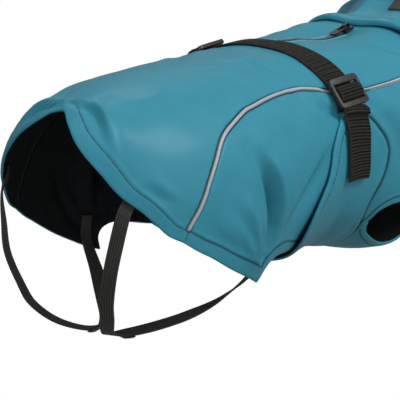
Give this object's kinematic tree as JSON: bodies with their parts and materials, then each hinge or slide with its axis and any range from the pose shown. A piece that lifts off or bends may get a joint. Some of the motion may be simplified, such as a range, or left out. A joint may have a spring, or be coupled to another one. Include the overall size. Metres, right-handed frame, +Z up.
{
  "type": "dog raincoat",
  "caption": "Worn dog raincoat: back and side panels with piping, belly band with webbing belt and buckles, spine zip, standing collar, elastic leg loops.",
  "frame": {"origin": "inner face of the back panel on the spine, under the belt, where the dog's back carries the coat", "axes": "+X along the spine to the head, +Y to the dog's left, +Z up"},
  "size_m": [0.4396, 0.1716, 0.1806],
  "materials": {
    "cloth": "smooth coated teal softshell",
    "webbing": "black ribbed webbing and elastic",
    "piping": "light grey reflective piping",
    "buckle": "black matt plastic",
    "zip_chain": "grey-blue zip tape and coil",
    "zip_metal": "black painted metal"
  },
  "bodies": {
    "root": {"back_panel": "cloth", "belly_band": "cloth", "belt_webbing": "webbing", "buckle_left": "buckle", "buckle_right": "buckle", "buckle_webbing_left": "webbing", "buckle_webbing_right": "webbing", "chest_panel": "cloth", "collar": "cloth", "leg_elastic_left": "webbing", "leg_elastic_right": "webbing", "piping_left": "piping", "piping_right": "piping", "side_panel_left": "cloth", "side_panel_right": "cloth", "webbing_tail_left": "webbing", "webbing_tail_right": "webbing", "zip_chain": "zip_chain", "zip_lip_left": "cloth", "zip_lip_right": "cloth", "zip_slider": "zip_metal"},
    "zip_pull": {"zip_pull": "zip_metal"}
  },
  "joints": [
    {"name": "zip_pull_hinge", "type": "hinge", "parent": "root", "child": "zip_pull", "pos_m": [0.10137, 0, -0.00079], "axis": [0, 1, 0], "range_deg": [0, 160]}
  ]
}
